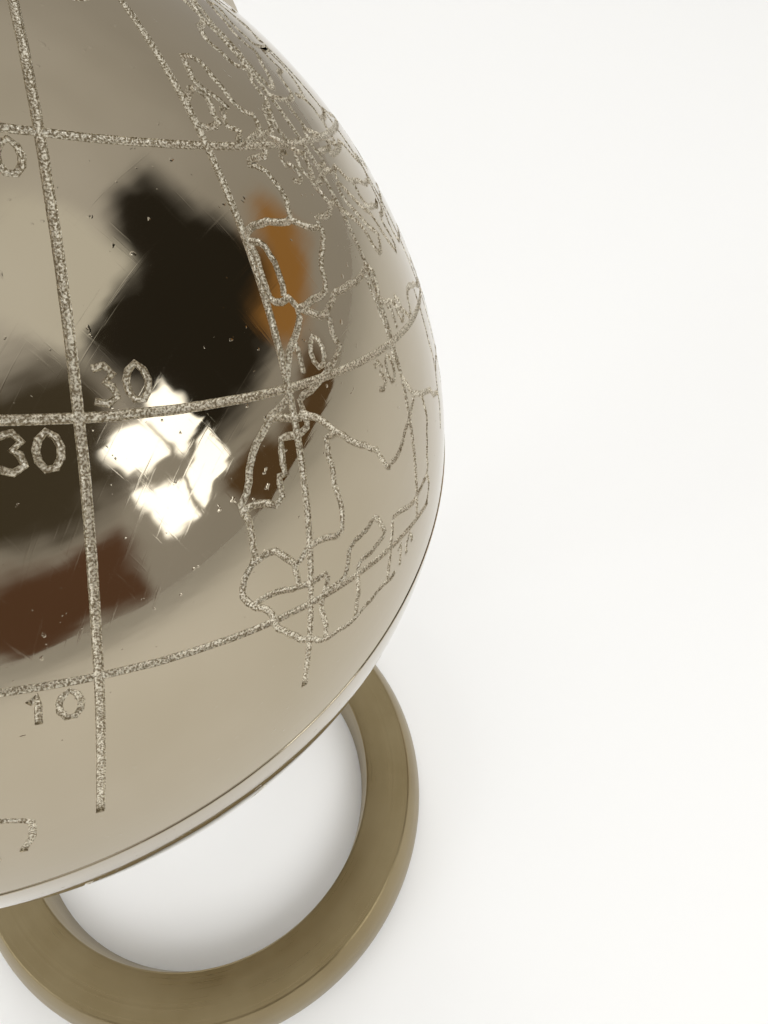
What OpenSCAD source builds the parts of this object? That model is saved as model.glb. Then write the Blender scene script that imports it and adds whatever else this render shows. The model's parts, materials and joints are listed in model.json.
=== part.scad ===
// Desk globe on an open ring base. A hollow metal globe turns on two pins held
// in a C-shaped arm; the arm stands on a post at the rim of a heavy ring.
// Millimetres, +Z up. The origin is the centre of the underside. +X is the side
// that the globe leans to, where the arm and the post are.

/* [Globe] */
// Outer radius of the upper shell
globe_r = 50; // [48:0.5:50]
// Thickness of the two spun shells
shell_t = 1.2; // [0.8:0.1:1.2]
// Lean of the polar axis from upright, in degrees
tilt = 23.5; // [18:0.5:26]
// Angle above the seam at which the upper shell starts to widen towards it
blend_lat = 30; // [25:1:35]
// Step from the lower shell in to the upper one at the seam
seam_step = 0.12; // [0.1:0.02:0.3]
// Height of the band that joins the shells from inside
band_h = 8; // [6:1:12]

/* [Axle] */
// Outer diameter of the tube through the globe
tube_d = 8; // [7.5:0.5:9]
// Diameter of the two pivot pins
pin_d = 4; // [3:0.5:4]
// Length of each bush in the tube's ends
bush_l = 10; // [6:1:16]

/* [Arm] */
// Width of the arm's flat bar
arm_w = 10; // [10:0.5:12]
// Thickness of the arm's flat bar
arm_t = 2.6; // [2.2:0.1:3]
// Gap between the lower shell and the arm
arm_gap = 2.1; // [2:0.1:2.5]

/* [Post] */
// Width of the post
post_w = 12; // [12:0.5:14]
// Thickness of the post, from its inner face to its outer face
post_t = 7; // [7:0.5:9]
// Height of the globe's centre over the ring's top face
globe_lift = 155; // [120:1:170]

/* [Base ring] */
// Radius of the ring at its widest
ring_r = 63.7; // [62.5:0.1:66]
// Radius of the sharp edge round the top face
ridge_r = 59.3; // [58.8:0.1:60]
// Radius of the hole in the top face
hole_r = 47.4; // [44:0.1:48]
// Height of the metal ring
ring_h = 16; // [14:0.5:18]
// Thickness of the felt under the ring
felt_t = 1; // [0.8:0.1:2]

/* [Hidden] */
$fn = 96;
fit = 0.03;
eps = 1;
running_fit = 0.05;
far = 200;

// The lower shell is larger than the upper one by a little over its thickness.
lower_in_r = globe_r + 0.1;
lower_r = lower_in_r + shell_t;
// The upper shell widens along one arc, tangent to its sphere at blend_lat. The
// arc's centre lies blend_d beyond the globe's centre.
rim_r = lower_r - seam_step;
blend_d = (rim_r * rim_r - globe_r * globe_r) / (2 * (globe_r - rim_r * cos(blend_lat)));
band_in_r = globe_r - shell_t - 0.4;

ring_top = felt_t + ring_h;
globe_z = ring_top + globe_lift;
ring_draft = 0.9;
widest_z = felt_t + 2;
flank_h = ring_top - widest_z;
flank_x = (ring_r * ring_r - ridge_r * ridge_r - flank_h * flank_h) / (2 * (ring_r - ridge_r));

tube_r = tube_d / 2;
tube_in_r = tube_r - 1.3;
pin_r = pin_d / 2;
arm_ri = lower_r + arm_gap;
arm_ro = arm_ri + arm_t;
seat_in = arm_ri + 0.1;
seat_out = arm_ro - 0.15;
collar_r = 6.5;
collar_top = lower_r + 0.8;
tube_end = collar_top - 0.2;
washer_r = 5;
washer_t = 0.5;
shoulder_r = 3.8;
shoulder_base = collar_top + running_fit + washer_t + running_fit;
lock_t = 0.8;
nut_base = seat_out + lock_t;
nut_h = 3.2;
nut_af = 7;
dome_h = 2.6;
pin_end = nut_base + nut_h + 0.4;
pin_start = tube_end - bush_l;
back_nut_r = 6.9;
back_nut_h = 3;

post_x = ridge_r - 0.8 - post_t / 2;
post_over = 7;
arm_screw_angles = [99, 108];
arm_screw_r = 1.25;
arm_screw_head_r = 2.3;
arm_screw_head_h = 1.2;
arm_screw_end = arm_ro + 2.2;
post_screw_y = 3.3;
post_screw_r = 1.5;
post_screw_head_r = 2.75;
post_screw_head_h = 3;
post_screw_seat = felt_t + 4.5;
post_screw_end = ring_top + 10;

champagne = [0.80, 0.73, 0.60];
satin_gold = [0.55, 0.47, 0.30];
steel = [0.62, 0.62, 0.63];
bronze = [0.62, 0.43, 0.22];

// Puts the drawing's origin at the globe's centre.
module at_globe() {
    translate([0, 0, globe_z]) children();
}

// Turns +Z into the outward polar axis: pole is 1 for the upper end, -1 for the lower.
module at_pole(pole) {
    at_globe() rotate([0, pole > 0 ? tilt : tilt + 180, 0]) children();
}

// A ring with a square section, standing on z = base.
module washer(inner, outer, base, height) {
    difference() {
        translate([0, 0, base]) cylinder(r = outer, h = height);
        translate([0, 0, base - eps]) cylinder(r = inner, h = height + 2 * eps);
    }
}

// Spun shells. Both are cut level; the lower one's rim ends in a rounded lip.
// Half outline of the upper shell's outside, or of the same line set in by inset.
module upper_outline(inset) {
    reach = [far * cos(blend_lat), far * sin(blend_lat)];
    intersection() {
        circle(r = globe_r - inset);
        polygon([[0, 0], reach, [0, far]]);
    }
    intersection() {
        translate([-blend_d * cos(blend_lat), -blend_d * sin(blend_lat)])
            circle(r = globe_r + blend_d - inset);
        polygon([[0, 0], [far, 0], reach]);
    }
}

module upper_shell() {
    color(champagne) difference() {
        at_globe() rotate_extrude() difference() {
            upper_outline(0);
            upper_outline(shell_t);
        }
        at_pole(1) cylinder(r = tube_r + running_fit, h = far);
    }
}

module lower_shell() {
    color(champagne) difference() {
        at_globe() difference() {
            sphere(r = lower_r);
            sphere(r = lower_in_r);
            translate([-far / 2, -far / 2, 0]) cube([far, far, far]);
        }
        at_pole(-1) cylinder(r = tube_r + running_fit, h = far);
    }
}

// Band soldered inside the seam: the two shells butt together over it.
module joining_band() {
    color(satin_gold) at_globe() rotate_extrude() difference() {
        union() {
            intersection() {
                upper_outline(shell_t + fit);
                square([far, band_h / 2]);
            }
            intersection() {
                circle(r = lower_in_r - fit);
                translate([0, -band_h / 2]) square([far, band_h / 2]);
            }
        }
        translate([0, -band_h]) square([band_in_r, 2 * band_h]);
    }
}

// Tube from pole to pole: it carries the end load past the thin shells.
module axle_tube() {
    color(bronze) at_pole(1) washer(tube_in_r, tube_r, -tube_end, 2 * tube_end);
}

// Round collar screwed on the tube's end, with a hollow seat on the shell.
module collar(pole, seat_r) {
    color(champagne) difference() {
        at_pole(pole) washer(tube_r + fit, collar_r, seat_r - 1.4, collar_top - seat_r + 1.4);
        at_globe() sphere(r = seat_r + fit, $fn = 360);
    }
}

module upper_collar() {
    collar(1, globe_r);
}

module lower_collar() {
    collar(-1, lower_r);
}

// Hexagon nut on the tube inside the globe: it clamps the shell to the collar.
module back_nut(pole, inner_r) {
    top = sqrt(inner_r * inner_r - back_nut_r * back_nut_r) - 0.1;
    color(steel) at_pole(pole) difference() {
        translate([0, 0, top - back_nut_h]) cylinder(r = back_nut_r, h = back_nut_h, $fn = 6);
        cylinder(r = tube_r + fit, h = far);
    }
}

module upper_back_nut() {
    back_nut(1, globe_r - shell_t);
}

module lower_back_nut() {
    back_nut(-1, lower_in_r);
}

module bush(pole) {
    color(bronze) at_pole(pole) washer(pin_r + running_fit, tube_in_r - fit, pin_start, bush_l);
}

module upper_bush() {
    bush(1);
}

module lower_bush() {
    bush(-1);
}

// A countersunk screw set in the arm's inner face and driven into the post.
module arm_screw_shape(clear) {
    translate([0, 0, arm_ri - 0.15])
        cylinder(r1 = arm_screw_head_r + clear, r2 = arm_screw_r + clear, h = arm_screw_head_h);
    translate([0, 0, arm_ri])
        cylinder(r = arm_screw_r + clear, h = arm_screw_end - arm_ri + clear);
}

module arm_screw_holes() {
    for (a = arm_screw_angles)
        at_globe() rotate([0, a, 0]) {
            arm_screw_shape(running_fit);
            translate([0, 0, arm_ri - 2])
                cylinder(r = arm_screw_head_r + running_fit, h = 1.85);
        }
}

// Half a hoop of flat bar on the leaning side, with a round eye at each pole.
module meridian_arm() {
    color(champagne) difference() {
        intersection() {
            at_globe() rotate([90, 0, 0]) washer(arm_ri, arm_ro, -arm_w / 2, arm_w);
            at_pole(1) union() {
                translate([0, -far / 2, -far / 2]) cube([far, far, far]);
                translate([0, 0, -far / 2]) cylinder(r = arm_w / 2 + 0.4, h = far);
            }
        }
        for (pole = [-1, 1])
            at_pole(pole) {
                cylinder(r = pin_r + fit, h = far);
                translate([0, 0, arm_ri - 2]) cylinder(r = shoulder_r + 0.6, h = seat_in - arm_ri + 2);
                translate([0, 0, seat_out]) cylinder(r = arm_w / 2 - 0.4, h = far);
            }
        arm_screw_holes();
    }
}

// Pin with a shoulder that seats on the arm's inner face; its nose runs in the bush.
module pivot_pin(pole) {
    color(steel) at_pole(pole) union() {
        translate([0, 0, pin_start]) cylinder(r = pin_r, h = pin_end - pin_start);
        translate([0, 0, shoulder_base]) cylinder(r = shoulder_r, h = seat_in - shoulder_base);
    }
}

module upper_pivot_pin() {
    pivot_pin(1);
}

module lower_pivot_pin() {
    pivot_pin(-1);
}

module thrust_washer(pole) {
    color("white") at_pole(pole) washer(pin_r + 0.1, washer_r, collar_top + running_fit, washer_t);
}

module upper_thrust_washer() {
    thrust_washer(1);
}

module lower_thrust_washer() {
    thrust_washer(-1);
}

// Split spring washer under the cap nut.
module lock_washer(pole) {
    color(steel) at_pole(pole) difference() {
        washer(pin_r + fit, nut_af / 2, seat_out, lock_t);
        translate([0, -0.3, seat_out - eps]) cube([nut_af, 0.6, lock_t + 2 * eps]);
    }
}

module upper_lock_washer() {
    lock_washer(1);
}

module lower_lock_washer() {
    lock_washer(-1);
}

// Domed cap nut: hexagon, neck and ball end, with a blind hole.
module cap_nut(pole) {
    dome_r = nut_af / 2 - 0.2;
    color(champagne) at_pole(pole) difference() {
        union() {
            translate([0, 0, nut_base]) cylinder(r = nut_af / 2 / cos(30), h = nut_h, $fn = 6);
            translate([0, 0, nut_base + nut_h]) intersection() {
                sphere(r = dome_r);
                translate([-far / 2, -far / 2, -eps]) cube([far, far, far]);
            }
        }
        translate([0, 0, nut_base - eps]) cylinder(r = pin_r + fit, h = pin_end - nut_base + eps + 0.2);
    }
}

module upper_cap_nut() {
    cap_nut(1);
}

module lower_cap_nut() {
    cap_nut(-1);
}

module post_screw_shape(clear) {
    translate([0, 0, post_screw_seat - post_screw_head_h])
        cylinder(r = post_screw_head_r + clear, h = post_screw_head_h);
    translate([0, 0, post_screw_seat - eps])
        cylinder(r = post_screw_r + clear, h = post_screw_end - post_screw_seat + eps + clear);
}

module at_post_screws() {
    for (side = [-1, 1])
        translate([post_x, side * post_screw_y, 0]) children();
}

// Flat bar on the ring's top face. Its upper end is hollowed to lie along the arm.
module support_post() {
    post_h = globe_lift + post_over;
    color(satin_gold) difference() {
        translate([post_x - post_t / 2, -post_w / 2, ring_top]) cube([post_t, post_w, post_h]);
        at_globe() rotate([90, 0, 0]) cylinder(r = arm_ro + fit, h = far, center = true, $fn = 180);
        translate([post_x + post_t / 2, 0, ring_top + post_h]) rotate([0, 45, 0]) cube([3, far, 3], center = true);
        at_post_screws() post_screw_shape(running_fit);
        arm_screw_holes();
    }
}

module arm_screws() {
    color(steel) for (a = arm_screw_angles)
        at_globe() rotate([0, a, 0]) difference() {
            arm_screw_shape(0);
            translate([0, 0, arm_ri - eps]) cylinder(r = 0.8, h = eps + 0.8, $fn = 6);
        }
}

// Heavy ring: level top face, sharp outer edge, flank that swells out towards the foot.
module base_ring() {
    color(satin_gold) difference() {
        rotate_extrude() difference() {
            intersection() {
                translate([flank_x, widest_z]) circle(r = ring_r - flank_x, $fn = 180);
                translate([hole_r - ring_draft, felt_t]) square([ring_r, ring_h]);
            }
            polygon([
                [hole_r - 2 * ring_draft, felt_t - eps],
                [hole_r - ring_draft, felt_t],
                [hole_r, ring_top],
                [hole_r, ring_top + eps],
                [hole_r - 2 * ring_draft, ring_top + eps]
            ]);
        }
        at_post_screws() {
            post_screw_shape(running_fit);
            cylinder(r = post_screw_head_r + 0.3, h = post_screw_seat);
        }
    }
}

module post_screws() {
    color(steel) at_post_screws() difference() {
        post_screw_shape(0);
        translate([0, 0, post_screw_seat - post_screw_head_h - eps]) cylinder(r = 1.4, h = eps + 1.6, $fn = 6);
    }
}

module base_felt() {
    color("dimgray") washer(hole_r - ring_draft + 0.8, ring_r - 1.2, 0, felt_t);
}

upper_shell();
lower_shell();
joining_band();
axle_tube();
upper_collar();
lower_collar();
upper_back_nut();
lower_back_nut();
upper_bush();
lower_bush();
meridian_arm();
upper_pivot_pin();
lower_pivot_pin();
upper_thrust_washer();
lower_thrust_washer();
upper_lock_washer();
lower_lock_washer();
upper_cap_nut();
lower_cap_nut();
support_post();
arm_screws();
base_ring();
post_screws();
base_felt();
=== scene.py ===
import json
import math

import bmesh
import bpy
from mathutils import Matrix, Vector


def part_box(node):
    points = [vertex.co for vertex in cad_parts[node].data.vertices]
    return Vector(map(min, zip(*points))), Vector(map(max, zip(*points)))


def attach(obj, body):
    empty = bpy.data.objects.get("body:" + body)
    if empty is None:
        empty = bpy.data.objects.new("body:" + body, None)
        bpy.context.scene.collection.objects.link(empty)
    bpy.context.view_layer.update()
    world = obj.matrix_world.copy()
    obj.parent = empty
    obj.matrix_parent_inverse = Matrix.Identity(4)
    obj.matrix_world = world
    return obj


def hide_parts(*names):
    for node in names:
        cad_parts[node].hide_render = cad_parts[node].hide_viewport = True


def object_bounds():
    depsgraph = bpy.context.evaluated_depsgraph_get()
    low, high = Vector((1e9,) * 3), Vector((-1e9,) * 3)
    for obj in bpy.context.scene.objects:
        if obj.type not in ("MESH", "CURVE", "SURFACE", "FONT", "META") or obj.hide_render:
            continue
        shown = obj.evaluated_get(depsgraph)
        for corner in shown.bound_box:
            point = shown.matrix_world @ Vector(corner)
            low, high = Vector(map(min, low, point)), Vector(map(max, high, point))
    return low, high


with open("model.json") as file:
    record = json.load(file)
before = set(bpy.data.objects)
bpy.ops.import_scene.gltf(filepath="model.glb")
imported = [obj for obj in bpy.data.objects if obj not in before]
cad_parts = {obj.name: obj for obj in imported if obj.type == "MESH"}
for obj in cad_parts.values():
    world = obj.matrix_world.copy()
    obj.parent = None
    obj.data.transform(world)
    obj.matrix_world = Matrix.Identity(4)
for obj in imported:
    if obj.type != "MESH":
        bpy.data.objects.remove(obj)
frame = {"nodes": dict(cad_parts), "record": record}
cad_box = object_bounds()

# Where the globe turns: its centre and its leaning polar axis, from the hinge.
# The seam between the shells is level at rest and runs through the centre.
spin = next(j for j in frame["record"]["behaviour"]["joints"] if j["name"] == "globe_spin")
centre = Vector(spin["pos_m"])
pole = Vector(spin["axis"]).normalized()
shell_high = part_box("upper_shell")[1]
globe_r = shell_high[2] - centre.z

# ---------------------------------------------------------------- the camera
# A close look down on the globe's map side from in front and to the left, with
# the ring base below. Distances are in globe radii from the globe's centre.
camera_place = Vector((-0.7265, -1.2147, 1.4067))
camera_forward = Vector((0.5227, 0.1880, -0.8315))
camera_up = Vector((0.7461, 0.3711, 0.5529))
lens = bpy.data.cameras.new("close_view")
lens.lens = 27.07
lens.clip_start = 0.002
camera = bpy.data.objects.new("close_view", lens)
bpy.context.scene.collection.objects.link(camera)
back = -camera_forward.normalized()
right = camera_up.cross(back).normalized()
up = back.cross(right)
camera.matrix_world = Matrix.Translation(centre + camera_place * globe_r) @ Matrix(
    (right, up, back)
).transposed().to_4x4()
bpy.context.scene.camera = camera

# ------------------------------------------------------------ room and light
# A pale table top under soft light. The room round it is what the polished
# metal shows: light windows, a grey ceiling, dark gaps and some warm wood.


class Wire:
    """An output socket of a node tree. An expression on it adds Math nodes to the tree."""

    def __init__(self, tree, socket):
        self.tree, self.socket = tree, socket

    @staticmethod
    def node(tree, kind, settings=None, inputs=None, output=0):
        """Adds a node: its settings first, then the values or links of its sockets."""
        made = tree.nodes.new(kind)
        for name, value in (settings or {}).items():
            if name == "stops":
                ramp = made.color_ramp.elements
                while len(ramp) < len(value):
                    ramp.new(0.5)
                for stop, (place, colour) in zip(ramp, value):
                    stop.position, stop.color = place, (*colour, 1.0)
            else:
                setattr(made, name, value)
        for name, value in (inputs or {}).items():
            if isinstance(value, Wire):
                tree.links.new(value.socket, made.inputs[name])
            else:
                made.inputs[name].default_value = value
        return Wire(tree, made.outputs[output]) if made.outputs else made

    def maths(self, operation, first, second):
        return Wire.node(self.tree, "ShaderNodeMath", {"operation": operation}, {0: first, 1: second})

    def __add__(self, other):
        return self.maths("ADD", self, other)

    def __radd__(self, other):
        return self.maths("ADD", other, self)

    def __sub__(self, other):
        return self.maths("SUBTRACT", self, other)

    def __rsub__(self, other):
        return self.maths("SUBTRACT", other, self)

    def __mul__(self, other):
        return self.maths("MULTIPLY", self, other)

    def __rmul__(self, other):
        return self.maths("MULTIPLY", other, self)

    def __truediv__(self, other):
        return self.maths("DIVIDE", self, other)


floor_half = 3.0
floor_mesh = bpy.data.meshes.new("table_top")
floor_corners = ((-1, -1), (1, -1), (1, 1), (-1, 1))
floor_mesh.from_pydata(
    [(x * floor_half, y * floor_half, cad_box[0][2]) for x, y in floor_corners],
    [],
    [(0, 1, 2, 3)],
)
floor = bpy.data.objects.new("table_top", floor_mesh)
bpy.context.scene.collection.objects.link(floor)
floor_paint = bpy.data.materials.new("pale_table")
floor_paint.use_nodes = True
floor_shader = floor_paint.node_tree.nodes["Principled BSDF"]
floor_shader.inputs["Base Color"].default_value = (0.9, 0.9, 0.89, 1)
floor_shader.inputs["Roughness"].default_value = 0.95
floor_shader.inputs["Specular IOR Level"].default_value = 0.1
floor_mesh.materials.append(floor_paint)

world = bpy.data.worlds.new("room")
bpy.context.scene.world = world
bpy.context.scene.view_settings.view_transform = "Standard"
world.use_nodes = True
room = world.node_tree
room.nodes.clear()
outward = Wire.node(room, "ShaderNodeTexCoord", output="Generated")
# The directions waver a little, so that the room's edges aren't ruled straight.
waver_scale = 3.5
waver_amount = 0.3
cloud = {"Vector": outward, "Scale": waver_scale, "Detail": 2.0}
waver = Wire.node(room, "ShaderNodeTexNoise", None, cloud, "Color")
waver = Wire.node(room, "ShaderNodeVectorMath", {"operation": "SUBTRACT"}, {0: waver, 1: (0.5, 0.5, 0.5)})
waver = Wire.node(room, "ShaderNodeVectorMath", {"operation": "SCALE"}, {0: waver, "Scale": waver_amount})
outward = Wire.node(room, "ShaderNodeVectorMath", {"operation": "ADD"}, {0: outward, 1: waver})


def along(vector):
    """How far a direction in the room reaches along a vector."""
    dot = {"operation": "DOT_PRODUCT"}
    return Wire.node(room, "ShaderNodeVectorMath", dot, {0: outward, 1: tuple(vector)}, "Value")


def soft_edge(value, half, blur):
    """1 where the size of value is under half, falling to 0 over the blur."""
    size = Wire.node(room, "ShaderNodeMath", {"operation": "ABSOLUTE"}, {0: value})
    return Wire.node(
        room,
        "ShaderNodeMapRange",
        {"interpolation_type": "SMOOTHSTEP"},
        {"Value": size, 1: half - blur, 2: half + blur, 3: 1.0, 4: 0.0},
    )


def patch(azimuth, elevation, half_width, half_height, blur):
    """Mask of a soft rectangle on the room's walls, towards an azimuth and an elevation, in degrees."""
    az, el = math.radians(azimuth), math.radians(elevation)
    facing = Vector((math.cos(el) * math.cos(az), math.cos(el) * math.sin(az), math.sin(el)))
    across = Vector((-math.sin(az), math.cos(az), 0))
    depth = Wire.node(room, "ShaderNodeMath", {"operation": "MAXIMUM"}, {0: along(facing), 1: 0.001})
    return soft_edge(along(across) / depth, half_width, blur) * soft_edge(
        along(facing.cross(across)) / depth, half_height, blur
    )


height = along((0, 0, 1))
wall_stops = [
    (0.0, (0.55, 0.53, 0.5)),
    (0.5, (0.5, 0.48, 0.45)),
    (0.75, (0.55, 0.53, 0.5)),
    (1.0, (0.85, 0.84, 0.82)),
]
wall = Wire.node(room, "ShaderNodeValToRGB", {"stops": wall_stops}, {"Fac": height * 0.5 + 0.5})
# Azimuth and elevation in degrees, half width, half height, blur and colour.
room_patches = [
    (-62, 34, 0.42, 0.36, 0.10, (0.035, 0.03, 0.022)),
    (-120, 36, 0.30, 0.30, 0.10, (0.09, 0.075, 0.05)),
    (-40, 15, 0.24, 0.13, 0.09, (0.50, 0.26, 0.08)),
    (-66, -2, 0.34, 0.12, 0.05, (0.16, 0.10, 0.05)),
    (-128, 6, 0.30, 0.16, 0.06, (0.16, 0.085, 0.05)),
    (-75, 60, 0.26, 0.20, 0.06, (0.95, 0.95, 0.90)),
    (80, 32, 0.40, 0.30, 0.10, (0.05, 0.045, 0.04)),
    (110, 12, 0.20, 0.12, 0.05, (0.50, 0.28, 0.10)),
    (175, 35, 0.45, 0.22, 0.10, (0.06, 0.055, 0.045)),
    (-165, 10, 0.25, 0.10, 0.05, (0.30, 0.20, 0.10)),
]
window_light = (3.4, 3.5, 3.6)
window_half_w = 0.095
window_half_h = 0.088
window_blur = 0.012
window_panes = (
    (-99, 26), (-86, 26), (-99, 13.5), (-86, 13.5),
    (140, 30), (153, 30), (140, 17), (153, 17),
    (40, 24), (52, 24),
)
for azimuth, elevation in window_panes:
    room_patches.append((azimuth, elevation, window_half_w, window_half_h, window_blur, window_light))
for azimuth, elevation, half_width, half_height, blur, tone in room_patches:
    wall = Wire.node(
        room,
        "ShaderNodeMix",
        {"data_type": "RGBA"},
        {0: patch(azimuth, elevation, half_width, half_height, blur), 6: wall, 7: (*tone, 1)},
        2,
    )
seen = Wire.node(room, "ShaderNodeLightPath", output="Is Camera Ray")
pale = (0.92, 0.92, 0.92, 1)
backdrop = Wire.node(room, "ShaderNodeMix", {"data_type": "RGBA"}, {0: seen, 6: wall, 7: pale}, 2)
glow = Wire.node(room, "ShaderNodeBackground", None, {"Color": backdrop})
Wire.node(room, "ShaderNodeOutputWorld", None, {"Surface": glow})

lamps = (("key", (-0.5, -0.7, 1.0), 0.8, 9), ("fill", (0.8, 0.4, 0.9), 0.9, 4))
for name, place, size, watts in lamps:
    lamp = bpy.data.lights.new(name, "AREA")
    lamp.size, lamp.energy = size, watts
    holder = bpy.data.objects.new(name, lamp)
    bpy.context.scene.collection.objects.link(holder)
    aim = Vector(place).to_track_quat("Z", "Y").to_matrix().to_4x4()
    holder.matrix_world = Matrix.Translation(centre + Vector(place)) @ aim
    holder.visible_glossy = False

# -------------------------------------------------- upper and lower shells
# Two halves spun from thin sheet and plated pale champagne, then polished. They
# butt at the level seam, where the lower one stands a hair proud. The map, the
# graticule and the degree numbers are sunk in them with a ball-nosed cutter.
sheet = 0.0012
# Lines stop this far from the seam, and run out over the length before it.
seam_margin = 0.0065
run_out = 0.0045
seam_round = 0.00022
blend_lat = math.radians(30)
lower_r = centre.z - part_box("lower_shell")[0][2]
rim_r = shell_high[0]
blend_d = (rim_r**2 - globe_r**2) / (2 * (globe_r - rim_r * math.cos(blend_lat)))
blend_centre = (-blend_d * math.cos(blend_lat), -blend_d * math.sin(blend_lat))
blend_r = globe_r + blend_d

# The meridian that lies over the arm at rest, in degrees.
first_meridian = 99.84
low_side = Vector((pole.z, 0, -pole.x))
cross_side = pole.cross(low_side)


def direction_of(lon, lat):
    """Where a longitude and a latitude, in degrees, lie at rest, as seen from the globe's centre."""
    east, north = math.radians(lon - first_meridian), math.radians(lat)
    ring = math.cos(east) * low_side + math.sin(east) * cross_side
    return math.cos(north) * ring + math.sin(north) * pole


def skin_radius(direction, upper):
    """Distance of a shell's polished face from the centre, in a direction."""
    rise = math.asin(max(-1, min(1, direction.z)))
    if not upper:
        return lower_r
    if rise > blend_lat:
        return globe_r
    turn = rise - blend_lat
    return math.sqrt(blend_r**2 - (blend_d * math.sin(turn)) ** 2) - blend_d * math.cos(turn)


def skin_normal(place, upper):
    """Direction that a shell's polished face looks in, at a place measured from the centre."""
    if not upper or place.z > place.length * math.sin(blend_lat):
        return place.normalized()
    out = math.hypot(place.x, place.y)
    rise = place.z - blend_centre[1]
    run = out - blend_centre[0]
    reach = math.hypot(run, rise)
    return Vector((place.x / out * run / reach, place.y / out * run / reach, rise / reach))


def arc(radius, start, stop, count, middle=(0, 0)):
    """Points (distance from the axis, height) along an arc between two angles above the level."""
    turns = [start + (stop - start) * i / (count - 1) for i in range(count)]
    return [(middle[0] + radius * math.cos(t), middle[1] + radius * math.sin(t)) for t in turns]


def turned(name, profile, steps, matrix, closed=False):
    """Spins a profile of (distance from the axis, height) points into a solid, then places it."""
    solid = bmesh.new()
    rim = [solid.verts.new((max(r, 0), 0, z)) for r, z in profile]
    edges = [solid.edges.new(pair) for pair in zip(rim, rim[1:])]
    if closed:
        edges.append(solid.edges.new((rim[-1], rim[0])))
    bmesh.ops.spin(
        solid, geom=rim + edges, cent=(0, 0, 0), axis=(0, 0, 1), angle=math.tau, steps=steps, use_merge=True
    )
    bmesh.ops.remove_doubles(solid, verts=solid.verts, dist=1e-7)
    bmesh.ops.recalc_face_normals(solid, faces=solid.faces)
    bmesh.ops.transform(solid, matrix=matrix, verts=solid.verts)
    mesh = bpy.data.meshes.new(name)
    solid.to_mesh(mesh)
    solid.free()
    made = bpy.data.objects.new(name, mesh)
    bpy.context.scene.collection.objects.link(made)
    return made


def seam_edge(radius, middle, side):
    """The small round between a shell's outside and the seam, from the outside to the seam."""
    out = radius - seam_round
    across = middle[0] + math.sqrt(out**2 - (side * seam_round - middle[1]) ** 2)
    start = math.atan2(side * seam_round - middle[1], across - middle[0])
    return arc(seam_round, start, -side * math.pi / 2, 5, (across, side * seam_round))


to_globe = Matrix.Translation(centre)
quarter = math.pi / 2
inner_r = lower_r - sheet
upper_edge = seam_edge(blend_r, blend_centre, 1)
lower_edge = seam_edge(lower_r, (0, 0), -1)
blend_end = math.atan2(upper_edge[0][1] - blend_centre[1], upper_edge[0][0] - blend_centre[0])
blend_inner_end = math.asin(-blend_centre[1] / (blend_r - sheet))
upper_profile = (
    [(0, globe_r)]
    + arc(globe_r, quarter, blend_lat, 44)[1:]
    + arc(blend_r, blend_lat, blend_end, 20, blend_centre)[1:]
    + upper_edge[1:]
    + arc(blend_r - sheet, blend_inner_end, blend_lat, 20, blend_centre)
    + arc(globe_r - sheet, blend_lat, quarter, 44)[1:-1]
    + [(0, globe_r - sheet)]
)
lower_profile = (
    [(0, -lower_r)]
    + arc(lower_r, -quarter, math.atan2(lower_edge[0][1], lower_edge[0][0]), 64)[1:]
    + lower_edge[1:]
    + arc(inner_r, 0, -quarter, 60)[:-1]
    + [(0, -inner_r)]
)
shell_steps = 220

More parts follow.
